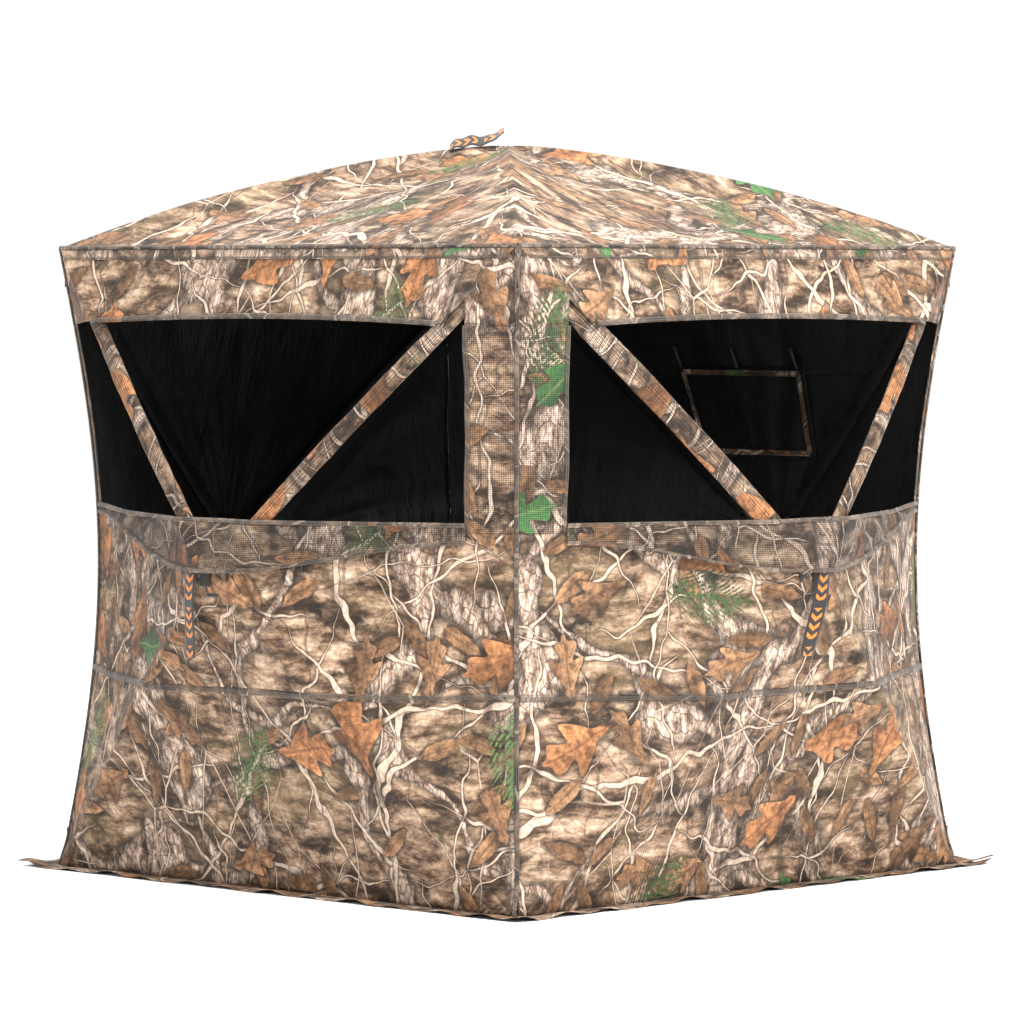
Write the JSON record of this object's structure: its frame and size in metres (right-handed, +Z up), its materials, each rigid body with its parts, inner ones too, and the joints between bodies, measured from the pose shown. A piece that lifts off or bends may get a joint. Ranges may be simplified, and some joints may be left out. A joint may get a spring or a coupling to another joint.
{
  "type": "pop up ground blind",
  "caption": "Pop-up hub ground blind: camouflage cloth walls and roof pushed out by bowed rods from central hubs, with long open windows, a door and a ground skirt.",
  "frame": {"origin": "centre of the footprint, on the ground", "axes": "+Z up, the front window wall faces -Y and the right window wall faces +X"},
  "size_m": [1.9332, 1.9332, 1.7182],
  "materials": {
    "camo_cloth": "printed woodland camouflage polyester, black coated inside",
    "printed_mesh": "printed see-through window mesh",
    "glass_fibre": "dark glass fibre rod with moulded ends",
    "hub_plastic": "moulded black nylon with steel pins",
    "webbing": "black woven webbing with orange marks",
    "edge_binding": "dark woven binding, double stitched",
    "pocket_cloth": "reinforced dark cloth",
    "black_cloth": "black coated cloth"
  },
  "bodies": {
    "sewn_edges": {"ground_skirt": "camo_cloth", "eave_band": "edge_binding", "corner_bindings": "edge_binding", "corner_pockets": "pocket_cloth"},
    "hub_front": {"hub_front": "hub_plastic"},
    "pole_front_lower_right": {"pole_front_lower_right": "glass_fibre"},
    "pole_front_upper_right": {"pole_front_upper_right": "glass_fibre"},
    "pole_front_upper_left": {"pole_front_upper_left": "glass_fibre"},
    "pole_front_lower_left": {"pole_front_lower_left": "glass_fibre"},
    "panel_front_bottom": {"panel_front_bottom": "camo_cloth", "strap_front": "webbing"},
    "panel_front_right": {"panel_front_right": "camo_cloth", "cover_front_right": "printed_mesh"},
    "panel_front_top": {"panel_front_top": "camo_cloth"},
    "panel_front_left": {"panel_front_left": "camo_cloth", "cover_front_left": "printed_mesh"},
    "hub_right": {"hub_right": "hub_plastic"},
    "pole_right_lower_back": {"pole_right_lower_back": "glass_fibre"},
    "pole_right_upper_back": {"pole_right_upper_back": "glass_fibre"},
    "pole_right_upper_front": {"pole_right_upper_front": "glass_fibre"},
    "pole_right_lower_front": {"pole_right_lower_front": "glass_fibre"},
    "panel_right_bottom": {"panel_right_bottom": "camo_cloth", "strap_right": "webbing"},
    "panel_right_back": {"panel_right_back": "camo_cloth", "cover_right_back": "printed_mesh"},
    "panel_right_top": {"panel_right_top": "camo_cloth"},
    "panel_right_front": {"panel_right_front": "camo_cloth", "cover_right_front": "printed_mesh"},
    "hub_back": {"hub_back": "hub_plastic"},
    "pole_back_lower_left": {"pole_back_lower_left": "glass_fibre"},
    "pole_back_upper_left": {"pole_back_upper_left": "glass_fibre"},
    "pole_back_upper_right": {"pole_back_upper_right": "glass_fibre"},
    "pole_back_lower_right": {"pole_back_lower_right": "glass_fibre"},
    "panel_back_bottom": {"panel_back_bottom": "camo_cloth", "strap_back": "webbing"},
    "panel_back_left": {"panel_back_left": "camo_cloth"},
    "panel_back_top": {"panel_back_top": "camo_cloth", "back_window_flap": "black_cloth"},
    "panel_back_right": {"panel_back_right": "camo_cloth"},
    "hub_left": {"hub_left": "hub_plastic"},
    "pole_left_lower_front": {"pole_left_lower_front": "glass_fibre"},
    "pole_left_upper_front": {"pole_left_upper_front": "glass_fibre"},
    "pole_left_upper_back": {"pole_left_upper_back": "glass_fibre"},
    "pole_left_lower_back": {"pole_left_lower_back": "glass_fibre"},
    "panel_left_bottom": {"panel_left_bottom": "camo_cloth", "strap_left": "webbing"},
    "panel_left_front": {"panel_left_front": "camo_cloth"},
    "panel_left_top": {"panel_left_top": "camo_cloth"},
    "panel_left_back": {"panel_left_back": "camo_cloth"},
    "hub_roof": {"hub_roof": "hub_plastic"},
    "pole_roof_front_right": {"pole_roof_front_right": "glass_fibre"},
    "pole_roof_back_right": {"pole_roof_back_right": "glass_fibre"},
    "pole_roof_back_left": {"pole_roof_back_left": "glass_fibre"},
    "pole_roof_front_left": {"pole_roof_front_left": "glass_fibre"},
    "panel_roof_front": {"panel_roof_front": "camo_cloth"},
    "panel_roof_right": {"panel_roof_right": "camo_cloth"},
    "panel_roof_back": {"panel_roof_back": "camo_cloth"},
    "panel_roof_left": {"panel_roof_left": "camo_cloth", "strap_roof": "webbing"},
    "door_leaf": {"door_leaf": "camo_cloth"}
  },
  "joints": [
    {"name": "hub_front_pop", "type": "slide", "parent": "sewn_edges", "child": "hub_front", "axis": [0, 1, 0], "range_m": [0, 0.414]},
    {"name": "pole_front_lower_right_swing", "type": "hinge", "parent": "hub_front", "child": "pole_front_lower_right", "pos_m": [0.02715, -0.93, 0.69341], "axis": [-0.6998, 0, -0.7144], "range_deg": [0, 25.08]},
    {"name": "pole_front_upper_right_swing", "type": "hinge", "parent": "hub_front", "child": "pole_front_upper_right", "pos_m": [0.02715, -0.93, 0.74659], "axis": [0.6998, 0, -0.7144], "range_deg": [0, 25.08]},
    {"name": "pole_front_upper_left_swing", "type": "hinge", "parent": "hub_front", "child": "pole_front_upper_left", "pos_m": [-0.02715, -0.93, 0.74659], "axis": [0.6998, 0, 0.7144], "range_deg": [0, 25.08]},
    {"name": "pole_front_lower_left_swing", "type": "hinge", "parent": "hub_front", "child": "pole_front_lower_left", "pos_m": [-0.02715, -0.93, 0.69341], "axis": [-0.6998, 0, 0.7144], "range_deg": [0, 25.08]},
    {"name": "panel_front_bottom_fold", "type": "hinge", "parent": "sewn_edges", "child": "panel_front_bottom", "pos_m": [0, -0.735, 0], "axis": [-1, 0, 0], "range_deg": [0, 32.08]},
    {"name": "panel_front_right_fold", "type": "hinge", "parent": "sewn_edges", "child": "panel_front_right", "pos_m": [0.735, -0.735, 0.72], "axis": [0, 0, -1], "range_deg": [0, 31.46]},
    {"name": "panel_front_top_fold", "type": "hinge", "parent": "sewn_edges", "child": "panel_front_top", "pos_m": [0, -0.735, 1.44], "axis": [1, 0, 0], "range_deg": [0, 32.08]},
    {"name": "panel_front_left_fold", "type": "hinge", "parent": "sewn_edges", "child": "panel_front_left", "pos_m": [-0.735, -0.735, 0.72], "axis": [0, 0, 1], "range_deg": [0, 31.46]},
    {"name": "hub_right_pop", "type": "slide", "parent": "sewn_edges", "child": "hub_right", "axis": [-1, 0, 0], "range_m": [0, 0.414]},
    {"name": "pole_right_lower_back_swing", "type": "hinge", "parent": "hub_right", "child": "pole_right_lower_back", "pos_m": [0.93, 0.02715, 0.69341], "axis": [0, -0.6998, -0.7144], "range_deg": [0, 25.08]},
    {"name": "pole_right_upper_back_swing", "type": "hinge", "parent": "hub_right", "child": "pole_right_upper_back", "pos_m": [0.93, 0.02715, 0.74659], "axis": [0, 0.6998, -0.7144], "range_deg": [0, 25.08]},
    {"name": "pole_right_upper_front_swing", "type": "hinge", "parent": "hub_right", "child": "pole_right_upper_front", "pos_m": [0.93, -0.02715, 0.74659], "axis": [0, 0.6998, 0.7144], "range_deg": [0, 25.08]},
    {"name": "pole_right_lower_front_swing", "type": "hinge", "parent": "hub_right", "child": "pole_right_lower_front", "pos_m": [0.93, -0.02715, 0.69341], "axis": [0, -0.6998, 0.7144], "range_deg": [0, 25.08]},
    {"name": "panel_right_bottom_fold", "type": "hinge", "parent": "sewn_edges", "child": "panel_right_bottom", "pos_m": [0.735, 0, 0], "axis": [0, -1, 0], "range_deg": [0, 32.08]},
    {"name": "panel_right_back_fold", "type": "hinge", "parent": "sewn_edges", "child": "panel_right_back", "pos_m": [0.735, 0.735, 0.72], "axis": [0, 0, -1], "range_deg": [0, 31.46]},
    {"name": "panel_right_top_fold", "type": "hinge", "parent": "sewn_edges", "child": "panel_right_top", "pos_m": [0.735, 0, 1.44], "axis": [0, 1, 0], "range_deg": [0, 32.08]},
    {"name": "panel_right_front_fold", "type": "hinge", "parent": "sewn_edges", "child": "panel_right_front", "pos_m": [0.735, -0.735, 0.72], "axis": [0, 0, 1], "range_deg": [0, 31.46]},
    {"name": "hub_back_pop", "type": "slide", "parent": "sewn_edges", "child": "hub_back", "axis": [0, -1, 0], "range_m": [0, 0.414]},
    {"name": "pole_back_lower_left_swing", "type": "hinge", "parent": "hub_back", "child": "pole_back_lower_left", "pos_m": [-0.02715, 0.93, 0.69341], "axis": [0.6998, 0, -0.7144], "range_deg": [0, 25.08]},
    {"name": "pole_back_upper_left_swing", "type": "hinge", "parent": "hub_back", "child": "pole_back_upper_left", "pos_m": [-0.02715, 0.93, 0.74659], "axis": [-0.6998, 0, -0.7144], "range_deg": [0, 25.08]},
    {"name": "pole_back_upper_right_swing", "type": "hinge", "parent": "hub_back", "child": "pole_back_upper_right", "pos_m": [0.02715, 0.93, 0.74659], "axis": [-0.6998, 0, 0.7144], "range_deg": [0, 25.08]},
    {"name": "pole_back_lower_right_swing", "type": "hinge", "parent": "hub_back", "child": "pole_back_lower_right", "pos_m": [0.02715, 0.93, 0.69341], "axis": [0.6998, 0, 0.7144], "range_deg": [0, 25.08]},
    {"name": "panel_back_bottom_fold", "type": "hinge", "parent": "sewn_edges", "child": "panel_back_bottom", "pos_m": [0, 0.735, 0], "axis": [1, 0, 0], "range_deg": [0, 32.08]},
    {"name": "panel_back_left_fold", "type": "hinge", "parent": "sewn_edges", "child": "panel_back_left", "pos_m": [-0.735, 0.735, 0.72], "axis": [0, 0, -1], "range_deg": [0, 31.46]},
    {"name": "panel_back_top_fold", "type": "hinge", "parent": "sewn_edges", "child": "panel_back_top", "pos_m": [0, 0.735, 1.44], "axis": [-1, 0, 0], "range_deg": [0, 32.08]},
    {"name": "panel_back_right_fold", "type": "hinge", "parent": "sewn_edges", "child": "panel_back_right", "pos_m": [0.735, 0.735, 0.72], "axis": [0, 0, 1], "range_deg": [0, 31.46]},
    {"name": "hub_left_pop", "type": "slide", "parent": "sewn_edges", "child": "hub_left", "axis": [1, 0, 0], "range_m": [0, 0.414]},
    {"name": "pole_left_lower_front_swing", "type": "hinge", "parent": "hub_left", "child": "pole_left_lower_front", "pos_m": [-0.93, -0.02715, 0.69341], "axis": [0, 0.6998, -0.7144], "range_deg": [0, 25.08]},
    {"name": "pole_left_upper_front_swing", "type": "hinge", "parent": "hub_left", "child": "pole_left_upper_front", "pos_m": [-0.93, -0.02715, 0.74659], "axis": [0, -0.6998, -0.7144], "range_deg": [0, 25.08]},
    {"name": "pole_left_upper_back_swing", "type": "hinge", "parent": "hub_left", "child": "pole_left_upper_back", "pos_m": [-0.93, 0.02715, 0.74659], "axis": [0, -0.6998, 0.7144], "range_deg": [0, 25.08]},
    {"name": "pole_left_lower_back_swing", "type": "hinge", "parent": "hub_left", "child": "pole_left_lower_back", "pos_m": [-0.93, 0.02715, 0.69341], "axis": [0, 0.6998, 0.7144], "range_deg": [0, 25.08]},
    {"name": "panel_left_bottom_fold", "type": "hinge", "parent": "sewn_edges", "child": "panel_left_bottom", "pos_m": [-0.735, 0, 0], "axis": [0, 1, 0], "range_deg": [0, 32.08]},
    {"name": "panel_left_front_fold", "type": "hinge", "parent": "sewn_edges", "child": "panel_left_front", "pos_m": [-0.735, -0.735, 0.72], "axis": [0, 0, -1], "range_deg": [0, 31.46]},
    {"name": "panel_left_top_fold", "type": "hinge", "parent": "sewn_edges", "child": "panel_left_top", "pos_m": [-0.735, 0, 1.44], "axis": [0, -1, 0], "range_deg": [0, 32.08]},
    {"name": "panel_left_back_fold", "type": "hinge", "parent": "sewn_edges", "child": "panel_left_back", "pos_m": [-0.735, 0.735, 0.72], "axis": [0, 0, 1], "range_deg": [0, 31.46]},
    {"name": "hub_roof_pop", "type": "slide", "parent": "sewn_edges", "child": "hub_roof", "axis": [0, 0, -1], "range_m": [0, 0.452]},
    {"name": "pole_roof_front_right_swing", "type": "hinge", "parent": "hub_roof", "child": "pole_roof_front_right", "pos_m": [0.02687, -0.02687, 1.654], "axis": [-0.7071, -0.7071, 0], "range_deg": [0, 27.01]},
    {"name": "pole_roof_back_right_swing", "type": "hinge", "parent": "hub_roof", "child": "pole_roof_back_right", "pos_m": [0.02687, 0.02687, 1.654], "axis": [0.7071, -0.7071, 0], "range_deg": [0, 27.01]},
    {"name": "pole_roof_back_left_swing", "type": "hinge", "parent": "hub_roof", "child": "pole_roof_back_left", "pos_m": [-0.02687, 0.02687, 1.654], "axis": [0.7071, 0.7071, 0], "range_deg": [0, 27.01]},
    {"name": "pole_roof_front_left_swing", "type": "hinge", "parent": "hub_roof", "child": "pole_roof_front_left", "pos_m": [-0.02687, -0.02687, 1.654], "axis": [-0.7071, 0.7071, 0], "range_deg": [0, 27.01]},
    {"name": "panel_roof_front_fold", "type": "hinge", "parent": "sewn_edges", "child": "panel_roof_front", "pos_m": [0, -0.735, 1.44], "axis": [-1, 0, 0], "range_deg": [0, 34.19]},
    {"name": "panel_roof_right_fold", "type": "hinge", "parent": "sewn_edges", "child": "panel_roof_right", "pos_m": [0.735, 0, 1.44], "axis": [0, -1, 0], "range_deg": [0, 34.19]},
    {"name": "panel_roof_back_fold", "type": "hinge", "parent": "sewn_edges", "child": "panel_roof_back", "pos_m": [0, 0.735, 1.44], "axis": [1, 0, 0], "range_deg": [0, 34.19]},
    {"name": "panel_roof_left_fold", "type": "hinge", "parent": "sewn_edges", "child": "panel_roof_left", "pos_m": [-0.735, 0, 1.44], "axis": [0, 1, 0], "range_deg": [0, 34.19]},
    {"name": "door_leaf_swing", "type": "hinge", "parent": "panel_left_back", "child": "door_leaf", "pos_m": [-0.77756, 0.59117, 0.72], "axis": [0, 0, -1], "range_deg": [0, 110]}
  ],
  "couplings": [
    {"joint": "pole_front_lower_right_swing", "follows": "hub_front_pop", "rad_per_m": 1.057},
    {"joint": "pole_front_upper_right_swing", "follows": "hub_front_pop", "rad_per_m": 1.057},
    {"joint": "pole_front_upper_left_swing", "follows": "hub_front_pop", "rad_per_m": 1.057},
    {"joint": "pole_front_lower_left_swing", "follows": "hub_front_pop", "rad_per_m": 1.057},
    {"joint": "panel_front_bottom_fold", "follows": "hub_front_pop", "rad_per_m": 1.3522},
    {"joint": "panel_front_right_fold", "follows": "hub_front_pop", "rad_per_m": 1.326},
    {"joint": "panel_front_top_fold", "follows": "hub_front_pop", "rad_per_m": 1.3522},
    {"joint": "panel_front_left_fold", "follows": "hub_front_pop", "rad_per_m": 1.326},
    {"joint": "pole_right_lower_back_swing", "follows": "hub_right_pop", "rad_per_m": 1.057},
    {"joint": "pole_right_upper_back_swing", "follows": "hub_right_pop", "rad_per_m": 1.057},
    {"joint": "pole_right_upper_front_swing", "follows": "hub_right_pop", "rad_per_m": 1.057},
    {"joint": "pole_right_lower_front_swing", "follows": "hub_right_pop", "rad_per_m": 1.057},
    {"joint": "panel_right_bottom_fold", "follows": "hub_right_pop", "rad_per_m": 1.3522},
    {"joint": "panel_right_back_fold", "follows": "hub_right_pop", "rad_per_m": 1.326},
    {"joint": "panel_right_top_fold", "follows": "hub_right_pop", "rad_per_m": 1.3522},
    {"joint": "panel_right_front_fold", "follows": "hub_right_pop", "rad_per_m": 1.326},
    {"joint": "pole_back_lower_left_swing", "follows": "hub_back_pop", "rad_per_m": 1.057},
    {"joint": "pole_back_upper_left_swing", "follows": "hub_back_pop", "rad_per_m": 1.057},
    {"joint": "pole_back_upper_right_swing", "follows": "hub_back_pop", "rad_per_m": 1.057},
    {"joint": "pole_back_lower_right_swing", "follows": "hub_back_pop", "rad_per_m": 1.057},
    {"joint": "panel_back_bottom_fold", "follows": "hub_back_pop", "rad_per_m": 1.3522},
    {"joint": "panel_back_left_fold", "follows": "hub_back_pop", "rad_per_m": 1.326},
    {"joint": "panel_back_top_fold", "follows": "hub_back_pop", "rad_per_m": 1.3522},
    {"joint": "panel_back_right_fold", "follows": "hub_back_pop", "rad_per_m": 1.326},
    {"joint": "pole_left_lower_front_swing", "follows": "hub_left_pop", "rad_per_m": 1.057},
    {"joint": "pole_left_upper_front_swing", "follows": "hub_left_pop", "rad_per_m": 1.057},
    {"joint": "pole_left_upper_back_swing", "follows": "hub_left_pop", "rad_per_m": 1.057},
    {"joint": "pole_left_lower_back_swing", "follows": "hub_left_pop", "rad_per_m": 1.057},
    {"joint": "panel_left_bottom_fold", "follows": "hub_left_pop", "rad_per_m": 1.3522},
    {"joint": "panel_left_front_fold", "follows": "hub_left_pop", "rad_per_m": 1.326},
    {"joint": "panel_left_top_fold", "follows": "hub_left_pop", "rad_per_m": 1.3522},
    {"joint": "panel_left_back_fold", "follows": "hub_left_pop", "rad_per_m": 1.326},
    {"joint": "pole_roof_front_right_swing", "follows": "hub_roof_pop", "rad_per_m": 1.0425},
    {"joint": "pole_roof_back_right_swing", "follows": "hub_roof_pop", "rad_per_m": 1.0425},
    {"joint": "pole_roof_back_left_swing", "follows": "hub_roof_pop", "rad_per_m": 1.0425},
    {"joint": "pole_roof_front_left_swing", "follows": "hub_roof_pop", "rad_per_m": 1.0425},
    {"joint": "panel_roof_front_fold", "follows": "hub_roof_pop", "rad_per_m": 1.3197},
    {"joint": "panel_roof_right_fold", "follows": "hub_roof_pop", "rad_per_m": 1.3197},
    {"joint": "panel_roof_back_fold", "follows": "hub_roof_pop", "rad_per_m": 1.3197},
    {"joint": "panel_roof_left_fold", "follows": "hub_roof_pop", "rad_per_m": 1.3197}
  ]
}
